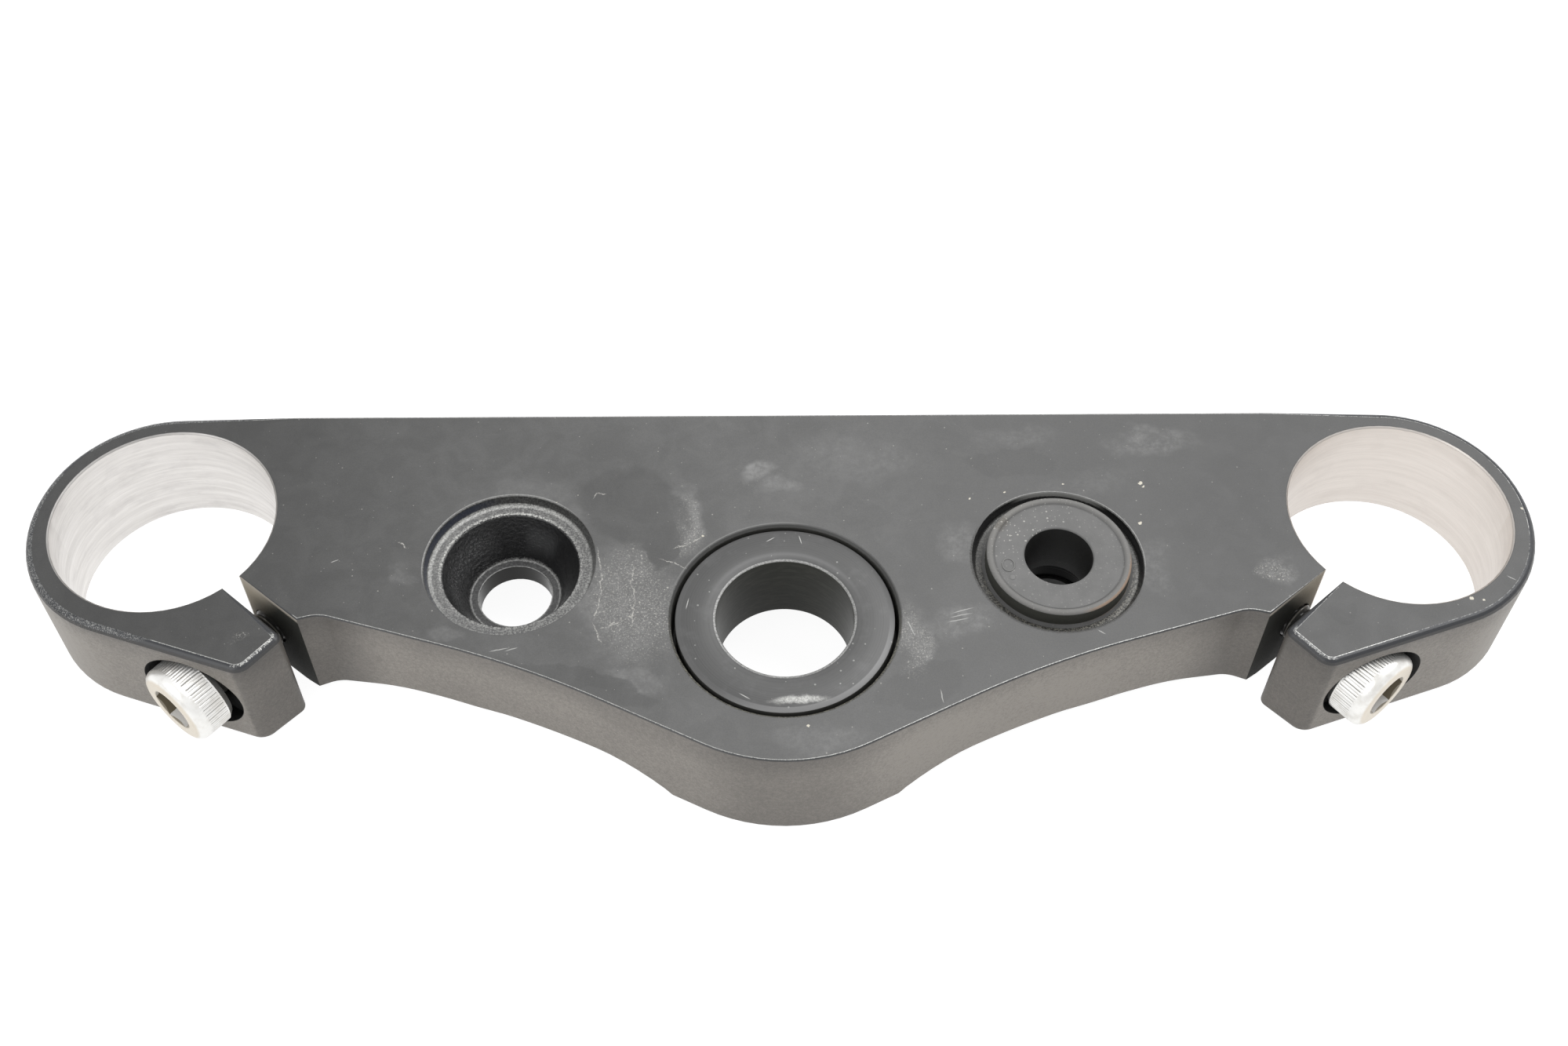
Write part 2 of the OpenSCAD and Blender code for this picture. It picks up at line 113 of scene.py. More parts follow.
class Nodes:
    """A node tree under construction. Values may be numbers, colours or sockets."""

    def __init__(self, tree):
        self.tree = tree
        tree.nodes.clear()

    def put(self, socket, value):
        if isinstance(value, bpy.types.NodeSocket):
            self.tree.links.new(value, socket)
        elif hasattr(value, "__len__") and len(value) == 3 and socket.type == "RGBA":
            socket.default_value = (*value, 1)
        else:
            socket.default_value = value

    def new(self, kind, inputs=None, **props):
        node = self.tree.nodes.new(kind)
        for key, value in props.items():
            setattr(node, key, value)
        for key, value in (inputs or {}).items():
            self.put(node.inputs[key], value)
        return node

    def math(self, op, a, b=0.0, c=0.0):
        return self.new("ShaderNodeMath", {0: a, 1: b, 2: c}, operation=op).outputs[0]

    def add(self, a, b):
        return self.math("ADD", a, b)

    def sub(self, a, b):
        return self.math("SUBTRACT", a, b)

    def mul(self, a, b):
        return self.math("MULTIPLY", a, b)

    def most(self, a, b):
        return self.math("MAXIMUM", a, b)

    def vec(self, op, a, b=(0, 0, 0), scale=None):
        node = self.new("ShaderNodeVectorMath", {0: a, 1: b}, operation=op)
        if scale is not None:
            self.put(node.inputs["Scale"], scale)
        return node.outputs["Value"] if op in ("LENGTH", "DOT_PRODUCT", "DISTANCE") else node.outputs[0]

    def xyz(self, x, y, z):
        return self.new("ShaderNodeCombineXYZ", {0: x, 1: y, 2: z}).outputs[0]

    def split(self, v):
        return self.new("ShaderNodeSeparateXYZ", {0: v}).outputs[:3]

    def ramp(self, value, low, high, to_low=0.0, to_high=1.0, smooth=True):
        """value from low to high becomes to_low to to_high, and stays inside them."""
        node = self.new(
            "ShaderNodeMapRange",
            {0: value, 1: low, 2: high, 3: to_low, 4: to_high},
            interpolation_type="SMOOTHSTEP" if smooth else "LINEAR",
        )
        return node.outputs[0]

    def band(self, value, low, high, soft):
        """1 where value is between low and high, fading to 0 over soft."""
        return self.mul(
            self.ramp(value, low - soft, low + soft),
            self.ramp(value, high - soft, high + soft, 1.0, 0.0),
        )

    def mix(self, factor, a, b):
        node = self.new("ShaderNodeMix", data_type="RGBA", clamp_factor=True)
        self.put(node.inputs[0], factor)
        self.put(node.inputs[6], a)
        self.put(node.inputs[7], b)
        return node.outputs[2]

    def blend(self, factor, a, b):
        node = self.new("ShaderNodeMix", {0: factor, 2: a, 3: b}, data_type="FLOAT", clamp_factor=True)
        return node.outputs[0]

    def noise(self, at, scale, detail=3.0, rough=0.5, warp=0.0):
        node = self.new(
            "ShaderNodeTexNoise",
            {"Vector": at, "Scale": scale, "Detail": detail, "Roughness": rough, "Distortion": warp},
        )
        return node.outputs[0]

    def jitter(self, at, scale, reach, detail=3.0):
        """at, moved about by noise: up to half of reach each way."""
        node = self.new("ShaderNodeTexNoise", {"Vector": at, "Scale": scale, "Detail": detail})
        off = self.vec("SUBTRACT", node.outputs["Color"], (0.5, 0.5, 0.5))
        return self.vec("ADD", at, self.vec("SCALE", off, scale=reach))

    def spot(self, at, centre, half, turn=0.0, soft=0.6):
        """1 in an ellipse with these half axes, fading out over the outer share soft."""
        node = self.new("ShaderNodeMapping", {"Vector": at}, vector_type="TEXTURE")
        node.inputs["Location"].default_value = (*centre, 0)
        node.inputs["Rotation"].default_value = (0, 0, turn)
        node.inputs["Scale"].default_value = (*half, 1000)
        return self.ramp(self.vec("LENGTH", node.outputs[0]), 1 - soft, 1.0, 1.0, 0.0)

    def scratch(self, at, a, b, width):
        """A stroke from a to b that thins out at both ends."""
        run = (b[0] - a[0], b[1] - a[1])
        centre = ((a[0] + b[0]) / 2, (a[1] + b[1]) / 2)
        half = (math.hypot(*run) / 2 + width, width / 2)
        return self.spot(at, centre, half, math.atan2(run[1], run[0]), 0.5)

    def most_of(self, masks):
        """The highest of a generator's masks.

        Each is joined in before the next is made. Otherwise the body's tree outgrows Cycles' stack and renders black.
        """
        total = next(masks)
        for mask in masks:
            total = self.most(total, mask)
        return total

    def specks(self, at, spacing, radius, share, seed=0.0):
        """Round specks in the plan: share of the cells, which are spacing wide, have one."""
        node = self.new(
            "ShaderNodeTexVoronoi",
            {"Vector": self.vec("ADD", at, (seed, seed * 1.7, 0.0)), "Scale": 1 / spacing},
            voronoi_dimensions="2D",
        )
        pick = self.split(node.outputs["Color"])[0]
        chosen = self.math("LESS_THAN", pick, share)
        reach = self.ramp(pick, 0.0, share, 0.35 * radius / spacing, radius / spacing, smooth=False)
        inside = self.math("DIVIDE", self.sub(reach, node.outputs["Distance"]), reach)
        return self.mul(chosen, self.ramp(inside, 0.0, 0.5))

    def bump(self, height, distance, strength=1.0, normal=None):
        node = self.new("ShaderNodeBump", {"Height": height, "Distance": distance, "Strength": strength})
        if normal is not None:
            self.put(node.inputs["Normal"], normal)
        return node.outputs[0]


def new_material(name):
    material = bpy.data.materials.new(name)
    material.use_nodes = True
    return material, Nodes(material.node_tree)


def finish_surface(n, **sockets):
    """Ends a tree with a Principled shader. Keys are its socket names with _ for a space."""
    shader = n.new("ShaderNodeBsdfPrincipled")
    for key, value in sockets.items():
        n.put(shader.inputs[key.replace("_", " ")], value)
    n.new("ShaderNodeOutputMaterial", {0: shader.outputs[0]})


def seen_directly(n):
    """1 for camera, glossy and transmission rays, 0 for those that only light the part."""
    path = n.new("ShaderNodeLightPath")
    direct = n.most(path.outputs["Is Camera Ray"], path.outputs["Is Glossy Ray"])
    return n.most(direct, path.outputs["Is Transmission Ray"])


def make_world():
    world = bpy.data.worlds.new("studio")
    world.use_nodes = True
    bpy.context.scene.world = world
    n = Nodes(world.node_tree)
    strength = n.blend(seen_directly(n), 0.62, 1.0)
    sky = n.new("ShaderNodeBackground", {"Color": (1, 1, 1), "Strength": strength})
    n.new("ShaderNodeOutputWorld", {0: sky.outputs[0]})


def make_floor():
    bpy.ops.mesh.primitive_plane_add(size=6, location=(0, 0, -(HALF_T + 0.05) * MM))
    floor = bpy.context.object
    floor.name = "floor"
    material, n = new_material("floor_paper")
    paper = n.new("ShaderNodeBsdfDiffuse", {"Color": (0.28, 0.28, 0.28)})
    glow = n.new("ShaderNodeEmission", {"Color": (1, 1, 1), "Strength": 0.93})
    lit = n.new("ShaderNodeAddShader", {0: paper.outputs[0], 1: glow.outputs[0]})
    plain = n.new("ShaderNodeBsdfDiffuse", {"Color": (0.8, 0.79, 0.77)})
    chosen = n.new("ShaderNodeMixShader", {0: seen_directly(n), 1: plain.outputs[0], 2: lit.outputs[0]})
    n.new("ShaderNodeOutputMaterial", {0: chosen.outputs[0]})
    floor.data.materials.append(material)


# ---------------------------------------------------------------- materials
def in_mm(n):
    """Object coordinates in mm, which are the row frame's, and their three parts."""
    at = n.vec("SCALE", n.new("ShaderNodeTexCoord").outputs["Object"], scale=1 / MM)
    return at, *n.split(at)


# Places of wear and dirt on the upper face: centre, half axes, turn and strength
HAZE = (
    ((-30, 4), (13, 18), 0.2, 0.5), ((-19, 24), (4, 11), 0.15, 0.75), ((-5.5, 34.8), (5, 2.6), 0.3, 0.8),
    ((-1, 31), (6, 3), 0, 0.5), ((34, 17.5), (7, 5), -0.3, 0.5), ((33, -1.5), (9, 4.5), 0.3, 0.6),
    ((24.5, -4), (4, 9), 0.1, 0.7), ((70.5, 11), (5, 9), 0, 0.45), ((74, 42), (12, 5), 0, 0.6),
    ((47, 43), (12, 4), 0, 0.3), ((-63, -4), (4, 2), 0, 0.4), ((-72, 10), (3, 3), 0, 0.35),
    ((-27, -13), (8, 3.5), -0.35, 0.5), ((94.5, 10), (4, 5), 0.3, 0.8), ((6, -26), (13, 3), 0, 0.35),
    ((-48, 27), (16, 8), -0.2, 0.25), ((14, 38), (18, 8), 0, 0.25), ((60, 31), (14, 6), 0.3, 0.25),
)
DUSTY = (
    ((-28, 4), (11, 17), 0.2), ((-19, 22), (4, 10), 0.1), ((24, -5), (4, 11), 0.1), ((94, 10), (4, 4), 0),
    ((-101.3, -4.2), (2.6, 1.2), 0.3),
)
SMOOTH_DARK = (
    ((-29, 26), (13, 9), -0.55, 0.8), ((-23.5, 17.5), (4.5, 6), 0.1, 0.9), ((-36, -14.2), (16, 3.5), -0.3, 0.7),
    ((24.7, -14.7), (9, 5), 0.4, 0.5), ((45, 36.5), (9, 3.5), 0, 0.5), ((104, 0.8), (3, 2.6), 0, 0.5),
    ((12, 24), (10, 5), 0, 0.35),
)
# Dust creases and scratches, as strokes through these points
CREASES = (
    ((-35.6, 16.7), (-34.8, 10.8), (-34.5, 5.0), (-35.6, -0.7), (-33.7, -6.0)),
    ((-28.7, 12.1), (-28.8, 7.5), (-28.0, 4.3), (-28.7, -2.7)),
    ((-15.6, 18.8), (-18.5, 16.9), (-21.4, 16.0)),
    ((-34.6, -2.6), (-29.8, -0.5)),
    ((-73.8, 18.0), (-72.0, 16.4)),
    ((-37.0, 28.2), (-36.2, 29.6), (-34.8, 29.4)),
    ((-24.0, 13.6), (-17.5, 11.0)),
)
SCRATCHES = (
    ((-54.5, -7.3), (-50.8, -6.5)), ((-51.5, -7.2), (-49.2, -6.4)), ((58.0, -3.3), (59.3, -4.3)),
    ((28.0, -16.0), (28.4, -19.0)), ((31.0, 0.6), (35.5, 1.9)), ((30.5, -0.4), (35.2, 0.7)),
    ((30.0, -1.5), (34.6, -0.4)), ((22.8, -1.0), (24.0, -4.5)), ((-86.0, 13.2), (-84.9, 13.8)),
    ((137.2, 8.4), (138.6, 7.4)),
)
STEM_SCRATCHES = (
    ((-3.4, 17.6), (-1.8, 18.6)), ((2.9, 19.0), (3.4, 17.0)), ((-18.5, 2.0), (-18.0, 4.5)),
    ((-8.5, -16.5), (-6.5, -17.8)),
)
# Chips down to the primer: place and radius
CHIPS = (
    ((70.3, 31.3), 0.55), ((70.8, 30.4), 0.35), ((69.0, 21.4), 0.5), ((36.4, 27.7), 0.3), ((43.3, 29.2), 0.25),
    ((-15.6, 18.9), 0.3), ((129.2, 3.3), 0.5), ((131.4, 2.9), 0.3), ((144.0, 24.5), 0.35), ((-44.2, 27.2), 0.2),
    ((3.9, -23.5), 0.3), ((55.0, 31.2), 0.25),
)


def body_material():
    material, n = new_material("satin_charcoal_coat")
    at, x, y, z = in_mm(n)
    geo = n.new("ShaderNodeNewGeometry")
    up = n.split(geo.outputs["True Normal"])[2]
    side_x = n.math("ABSOLUTE", x)
    plan = n.xyz(x, y, 0.0)
    half_plan = n.xyz(side_x, y, 0.0)
    from_fork = n.vec("DISTANCE", half_plan, (*FORK, 0))
    from_riser = n.vec("DISTANCE", half_plan, (*RISER, 0))
    from_stem = n.vec("LENGTH", plan)
    along_slot = n.vec("DOT_PRODUCT", n.vec("SUBTRACT", half_plan, (*FORK, 0)), (*SLOT_ALONG, 0))
    across_slot = n.vec("DOT_PRODUCT", n.vec("SUBTRACT", half_plan, (*FORK, 0)), (*SLOT_ACROSS, 0))
    level = n.ramp(up, 0.985, 0.995)
    steep = n.ramp(n.math("ABSOLUTE", up), 0.3, 0.7, 1.0, 0.0)
    left = n.ramp(x, -30.0, 30.0, 1.0, 0.0)

    # Satin coat of the upper face, with painted light across it: darker at the left end and toward the right, brightest
    # round the stem
    large = n.noise(at, 0.05, 4, 0.6)
    patchy = n.noise(at, 0.16, 5, 0.65, 0.6)
    grain = n.noise(at, 4.5, 3, 0.6)
    tone = n.add(
        n.ramp(x, -124.0, -40.0, 0.048, 0.098),
        n.ramp(n.math("ABSOLUTE", n.sub(x, 2.0)), 0.0, 42.0, 0.013, 0.0),
    )
    tone = n.mul(tone, n.ramp(x, 30.0, 100.0, 1.0, 0.66))
    tone = n.mul(tone, n.ramp(large, 0.3, 0.7, 0.93, 1.07))
    tone = n.mul(tone, n.ramp(patchy, 0.35, 0.7, 0.9, 1.09))
    tone = n.mul(tone, n.ramp(grain, 0.3, 0.7, 0.92, 1.08))

    # Wipe marks and dust
    smeared = n.jitter(plan, 0.14, 9.0, 4)
    haze = n.most_of(n.mul(n.spot(smeared, c, half, turn, 0.65), k) for c, half, turn, k in HAZE)
    dark = n.most_of(n.mul(n.spot(smeared, c, half, turn, 0.2), k) for c, half, turn, k in SMOOTH_DARK)
    haze = n.mul(haze, n.sub(1.0, dark))
    cloudy = n.ramp(n.noise(at, 0.6, 5, 0.75), 0.38, 0.66)
    tone = n.mul(tone, n.sub(1.0, n.mul(dark, 0.24)))
    tone = n.add(tone, n.mul(n.mul(haze, n.blend(cloudy, 0.4, 1.0)), 0.145))
    colour = n.new("ShaderNodeCombineColor", {0: tone, 1: tone, 2: n.mul(tone, 0.985)}).outputs[0]
    powder = n.ramp(n.noise(at, 2.6, 5, 0.85), 0.52, 0.62)
    dusty = n.most_of(n.spot(smeared, c, half, turn, 0.7) for c, half, turn in DUSTY)
    dusty = n.mul(dusty, n.sub(1.0, dark))
    colour = n.mix(n.mul(n.mul(powder, dusty), 0.8), colour, (0.46, 0.45, 0.42))
    crumbs = n.most(n.specks(plan, 0.9, 0.17, 0.3, 3.0), n.specks(plan, 1.7, 0.26, 0.4, 9.0))
    crumbs = n.mul(n.mul(crumbs, n.ramp(dusty, 0.1, 0.5)), n.ramp(cloudy, 0.2, 0.8, 0.3, 0.9))
    colour = n.mix(crumbs, colour, (0.46, 0.45, 0.41))
    dots = n.most(n.specks(plan, 5.2, 0.2, 0.35), n.mul(n.specks(plan, 2.6, 0.14, 0.2, 7.0), 0.7))
    colour = n.mix(n.mul(dots, n.ramp(side_x, 70.0, 105.0, 0.6, 0.3)), colour, (0.42, 0.41, 0.38))

    # Creases of dust, scratches and chips
    wavy = n.jitter(n.jitter(plan, 0.5, 1.6, 3), 3.0, 0.5, 2)
    creases = n.most_of(n.scratch(wavy, a, b, 0.36) for line in CREASES for a, b in zip(line, line[1:]))
    creases = n.mul(creases, n.ramp(n.noise(at, 2.2, 3, 0.7), 0.4, 0.56, 0.1, 1.0))
    colour = n.mix(n.mul(creases, 0.9), colour, (0.46, 0.45, 0.42))
    shaky = n.jitter(plan, 0.7, 0.4, 2)
    cuts = n.most_of(n.scratch(shaky, a, b, 0.26) for a, b in SCRATCHES)
    colour = n.mix(n.mul(cuts, 0.7), colour, (0.5, 0.5, 0.48))
    torn = n.jitter(plan, 2.4, 0.7, 2)
    chips = n.most_of(n.spot(torn, c, (r, r * 0.8), 0.5, 0.3) for c, r in CHIPS)
    colour = n.mix(chips, colour, (0.66, 0.62, 0.52))

    # Side walls: browner cast skin with fine pits, with painted shade near the slots, and darker at the nose
    skin = n.noise(at, 1.3, 4, 0.65)
    shade = n.most(
        n.mul(n.ramp(side_x, 74.0, 86.0, 0.0, 0.4), n.ramp(across_slot, 0.0, 3.0, 1.0, 0.0)),
        n.most(
            n.mul(n.ramp(side_x, 4.0, 22.0, 0.24, 0.0), n.ramp(y, -22.0, -27.0)),
            n.mul(n.ramp(along_slot, 36.4, 37.2, 0.0, 0.42), n.ramp(across_slot, 3.4, 3.7)),
        ),
    )
    wall_tone = n.mul(n.ramp(skin, 0.3, 0.7, 0.88, 1.12), n.ramp(large, 0.3, 0.7, 0.92, 1.08))
    wall_tone = n.mul(wall_tone, n.ramp(n.noise(at, 3.2, 3, 0.75), 0.3, 0.7, 0.86, 1.14))
    wall_tone = n.mul(wall_tone, n.mul(n.sub(1.0, shade), n.ramp(n.sub(z, n.mul(large, 6.0)), 1.0, 9.0, 1.0, 0.74)))
    wall_tone = n.mul(wall_tone, n.ramp(n.math("ABSOLUTE", n.sub(x, 38.0)), 12.0, 34.0, 1.18, 1.0))
    wall_tone = n.mul(wall_tone, n.ramp(side_x, 122.0, 142.0, 1.0, 1.36))
    wall = n.mix(n.mul(wall_tone, 0.83), (0.0, 0.0, 0.0), (0.304, 0.281, 0.254))
    pits = n.ramp(n.noise(at, 2.2, 2, 0.5), 0.27, 0.2)
    wall = n.mix(n.mul(pits, 0.6), wall, (0.05, 0.045, 0.04))
    colour = n.mix(steep, colour, wall)

    # Rounded edges of the rings and ears: near-black below the top as painted shade, bright along the top with wear and
    # painted glints
    sloping = n.mul(n.ramp(up, 0.995, 0.985), n.ramp(up, 0.1, 0.16))
    rounding = n.mul(sloping, n.mul(n.ramp(z, 10.6, 10.9), n.ramp(from_fork, 22.4, 22.6)))
    rounding = n.mul(rounding, n.mul(n.ramp(from_riser, 17.0, 17.2), n.ramp(from_stem, 22.6, 22.8)))
    # Painted shade on the rounded edges, strongest near the top face
    edge_shade = n.mul(rounding, n.ramp(up, 0.1, 0.95, smooth=False))
    colour = n.mix(n.mul(edge_shade, n.blend(left, 1.0, 0.85)), colour, (0.018, 0.02, 0.025))
    ragged = n.noise(at, 2.6, 4, 0.8)
    fine_line = n.ramp(n.add(z, n.mul(ragged, 0.06)), 12.29, 12.318)
    torn_line = n.ramp(n.add(z, n.mul(ragged, 0.7)), 12.5, 12.58)
    ear_end = n.mul(n.ramp(along_slot, 35.6, 36.4), n.ramp(across_slot, 3.0, 3.6))
    slot_side = n.mul(n.band(across_slot, -2.0, 5.0, 0.2), n.ramp(along_slot, 36.8, 35.8))
    plate_rim = n.ramp(from_fork, 27.6, 28.4)
    broken = n.ramp(n.noise(at, 0.9, 4, 0.8), 0.42, 0.56)
    left_edge = n.mul(n.mul(torn_line, n.ramp(ragged, 0.46, 0.62)), n.blend(ear_end, n.blend(broken, 0.15, 0.5), 0.0))
    on_ear = n.ramp(across_slot, 17.0, 21.0, 1.0, 0.0)
    right_edge = n.mul(
        n.mul(fine_line, n.ramp(ragged, 0.34, 0.5)),
        n.blend(on_ear, n.mul(broken, 0.4), n.blend(broken, 0.35, 0.85)),
    )
    frayed = n.mul(n.ramp(grain, 0.5, 0.64), n.ramp(up, 0.45, 0.8))
    left_edge = n.most(left_edge, n.mul(frayed, n.ramp(along_slot, 34.0, 10.0, 0.0, 0.4)))
    end_edge = n.mul(
        n.mul(torn_line, n.ramp(ragged, 0.4, 0.54)),
        n.mul(ear_end, n.mul(n.blend(broken, 0.35, 1.0), n.blend(left, 0.6, 1.0))),
    )
    rear_edge = n.mul(n.mul(fine_line, n.ramp(ragged, 0.36, 0.6, 0.45, 0.85)), plate_rim)
    # Bright edge lines: wear down to the metal, and painted glints along the edges
    wear_and_glint = n.blend(plate_rim, n.most(n.blend(left, right_edge, left_edge), end_edge), n.most(rear_edge, end_edge))
    wear_and_glint = n.mul(n.mul(rounding, wear_and_glint), n.sub(1.0, n.mul(slot_side, n.blend(left, 0.4, 0.9))))
    colour = n.mix(wear_and_glint, colour, (0.56, 0.56, 0.54))

    # Slots: pale near the bore, black further in as painted shade
    in_slot = n.mul(n.band(across_slot, -0.44, 3.54, 0.02), n.mul(n.ramp(along_slot, 18.0, 18.2), steep))
    depth = n.add(along_slot, n.mul(n.sub(12.3, z), 0.7))
    deep_slot_shade = n.ramp(n.add(depth, n.mul(ragged, 1.5)), 27.0, 35.0)
    slot_colour = n.mix(deep_slot_shade, (0.46, 0.42, 0.35), (0.012, 0.0125, 0.009))
    slot_colour = n.mix(n.ramp(n.add(z, n.mul(ragged, 0.8)), 11.2, 12.2, 0.0, 0.85), slot_colour, (0.5, 0.46, 0.4))
    colour = n.mix(in_slot, colour, slot_colour)

    # Counterbores round the screw heads, in their own shadow
    off_screw = n.vec("LENGTH", n.xyz(n.sub(along_slot, SCREW_U), z, 0.0))
    in_counterbore = n.mul(n.ramp(off_screw, 9.5, 9.55, 1.0, 0.0), n.ramp(across_slot, 13.0, 13.4))
    colour = n.mix(in_counterbore, colour, (0.007, 0.007, 0.007))

    # Riser sockets: grey speckled seat and ledge, black hammered cone with painted sheen and glints, bright flecked
    # rims with painted highlights, painted shade in the necks and gaps
    in_socket = n.mul(n.ramp(from_riser, SOCKET_R, SOCKET_R + 0.06, 1.0, 0.0), n.ramp(z, 12.26, 12.29, 1.0, 0.0))
    fleck = n.ramp(n.noise(at, 2.7, 4, 0.85), 0.45, 0.58)
    uneven = n.add(from_riser, n.mul(n.sub(ragged, 0.5), 1.0))
    seat = n.mul(n.band(uneven, 13.25, 15.62, 0.1), n.ramp(z, 10.2, 10.4, 1.0, 0.0))
    toward_left = n.ramp(side_x, RISER[0] + 14.0, RISER[0] - 6.0)
    near_side = n.ramp(y, RISER[1] + 6.0, RISER[1] - 8.0)
    left_seat = n.mix(
        n.mul(fleck, 0.5),
        n.mix(toward_left, (0.12, 0.12, 0.12), (0.085, 0.085, 0.085)), (0.44, 0.44, 0.42),
    )
    # The right seat, in the gap round the bush, is painted dark as painted shade, with flecks toward the near side
    right_seat = n.mix(n.mul(fleck, n.most(near_side, 0.25)), (0.02, 0.02, 0.018), (0.24, 0.23, 0.2))
    below = n.add(n.sub(12.3, z), n.mul(n.sub(ragged, 0.5), 0.5))
    round_socket = n.vec("NORMALIZE", n.vec("SUBTRACT", half_plan, (*RISER, 0)))
    at_back = n.vec("DOT_PRODUCT", round_socket, (0.5, 0.86, 0.0))
    # Painted highlight on the seat's rounded bead and its inner lips, strongest at the back, broken by flecks
    bead = n.mul(n.band(uneven, 14.95, 15.75, 0.15), n.ramp(below, 1.6, 1.9))
    bead = n.mul(bead, n.mul(n.ramp(at_back, -0.3, 0.6, 0.2, 1.0), n.blend(left, 0.3, 1.0)))
    lips = n.mul(n.band(uneven, 13.2, 13.75, 0.12), n.mul(left, n.ramp(at_back, 0.0, 0.7, 0.25, 1.0)))
    lit_rim = n.mul(
        n.ramp(below, 1.1, 0.7),
        n.mul(n.sub(1.0, left), n.ramp(n.vec("DOT_PRODUCT", round_socket, (0.1, 0.995, 0.0)), 0.8, 0.97)),
    )
    ledge = n.mul(n.band(from_riser, 7.05, 8.8, 0.05), n.ramp(up, 0.8, 0.9))
    ledge_lips = n.mul(
        n.most(n.band(from_riser, 7.05, 7.3, 0.08), n.band(uneven, 8.5, 8.9, 0.12)),
        n.band(z, 0.9, 2.2, 0.2),
    )
    chamfer = n.mul(n.ramp(from_riser, 15.3, 15.5), n.mul(left, n.ramp(fleck, 0.0, 1.0, 0.35, 1.0)))
    # Painted sheen and glints on the cones
    halfway = n.band(z, 4.6, 7.2, 2.6)
    left_sheen = n.ramp(n.vec("DOT_PRODUCT", round_socket, (0.96, 0.28, 0.0)), 0.5, 0.95)
    sheen = n.most(n.mul(left_sheen, 0.45), n.ramp(n.vec("DOT_PRODUCT", round_socket, (-0.45, 0.89, 0.0)), 0.92, 0.998))
    socket = n.mix(n.mul(halfway, sheen), (0.012, 0.012, 0.0125), (0.06, 0.061, 0.062))
    glints = n.mul(n.ramp(ragged, 0.52, 0.6), n.mul(halfway, left_sheen))
    socket = n.mix(n.mul(glints, 0.8), socket, (0.2, 0.2, 0.2))
    socket = n.mix(chamfer, socket, (0.085, 0.085, 0.082))
    socket = n.mix(seat, socket, n.mix(left, right_seat, left_seat))
    # Painted blue reflection on the left socket's chamfer, toward its outer side
    blue_reflection = n.mul(n.band(below, 0.5, 1.7, 0.2), n.mul(left, n.ramp(side_x, RISER[0] + 2.0, RISER[0] + 9.0)))
    socket = n.mix(n.mul(blue_reflection, 0.7), socket, (0.028, 0.034, 0.055))
    socket = n.mix(n.mul(bead, n.blend(fleck, 0.4, 1.0)), socket, (0.62, 0.62, 0.6))
    socket = n.mix(n.mul(lips, n.blend(fleck, 0.1, 1.0)), socket, (0.64, 0.64, 0.61))
    socket = n.mix(n.mul(lit_rim, 0.9), socket, (0.3, 0.3, 0.29))
    socket = n.mix(ledge, socket, n.mix(fleck, (0.045, 0.045, 0.045), (0.09, 0.09, 0.09)))
    socket = n.mix(n.mul(ledge_lips, n.blend(fleck, 0.4, 0.9)), socket, (0.4, 0.4, 0.39))
    # The necks are painted near-black as painted shade, with painted glint arcs low in the right one
    in_neck = n.mul(n.ramp(from_riser, NECK_R + 0.02, NECK_R + 0.1, 1.0, 0.0), n.ramp(z, 1.3, 1.25))
    glint_arcs = n.mul(n.most(n.band(z, -2.75, -2.6, 0.08), n.mul(n.band(z, -0.2, -0.05, 0.08), 0.5)), n.ramp(x, 50.0, 56.0))
    right_neck = n.mix(n.mul(glint_arcs, 0.8), (0.004, 0.004, 0.004), (0.12, 0.12, 0.12))
    socket = n.mix(in_neck, socket, n.mix(left, right_neck, (0.015, 0.0145, 0.0125)))
    colour = n.mix(in_socket, colour, socket)
    # Painted glint along the back of the socket rims, broken by flecks
    rim_line = n.mul(
        n.band(n.add(from_riser, n.mul(n.sub(ragged, 0.5), 0.2)), 16.3, 16.62, 0.06),
        n.ramp(z, 11.9, 12.1),
    )
    rim_line = n.mul(rim_line, n.mul(n.ramp(at_back, 0.1, 0.6), n.blend(fleck, 0.5, 0.9)))
    colour = n.mix(rim_line, colour, (0.42, 0.42, 0.41))
    # Painted shade of a rounded lead-in at the front of the right socket's rim
    torn_rim = n.ramp(n.add(from_riser, n.mul(n.sub(ragged, 0.5), 0.8)), 16.7, 17.0, 1.0, 0.0)
    dark_rim = n.mul(n.mul(torn_rim, n.sub(1.0, left)), n.ramp(at_back, 0.2, -0.4))
    dark_rim = n.mul(dark_rim, n.mul(level, n.ramp(from_riser, 16.3, 16.4)))
    colour = n.mix(n.mul(dark_rim, n.blend(fleck, 0.95, 0.5)), colour, (0.02, 0.019, 0.016))

    # Ring groove round the stem bush, darkened as painted shade, and its rim
    groove = n.mul(n.band(from_stem, 20.0, RECESS_R + 0.06, 0.04), n.ramp(z, 12.0, 12.2, 1.0, 0.0))
    colour = n.mix(groove, colour, (0.06, 0.06, 0.055))
    # The recess bevel is painted dark as painted shade, with lighter specks toward the front
    recess_rim = n.mul(n.band(from_stem, RECESS_R, RECESS_R + 0.42, 0.08), n.ramp(z, 11.4, 11.7))
    rim_colour = n.mix(n.mul(fleck, n.ramp(y, 6.0, -14.0)), (0.03, 0.03, 0.028), (0.26, 0.25, 0.2))
    colour = n.mix(n.mul(recess_rim, n.mul(n.ramp(up, 0.99, 0.98), 0.9)), colour, rim_colour)
    pale_rim = n.mul(n.band(n.add(from_stem, n.mul(n.sub(ragged, 0.5), 0.4)), 21.75, 22.15, 0.1), n.ramp(y, 2.0, 14.0))
    colour = n.mix(n.mul(n.mul(pale_rim, n.ramp(x, 6.0, 0.0)), n.mul(level, 0.8)), colour, (0.2, 0.2, 0.195))

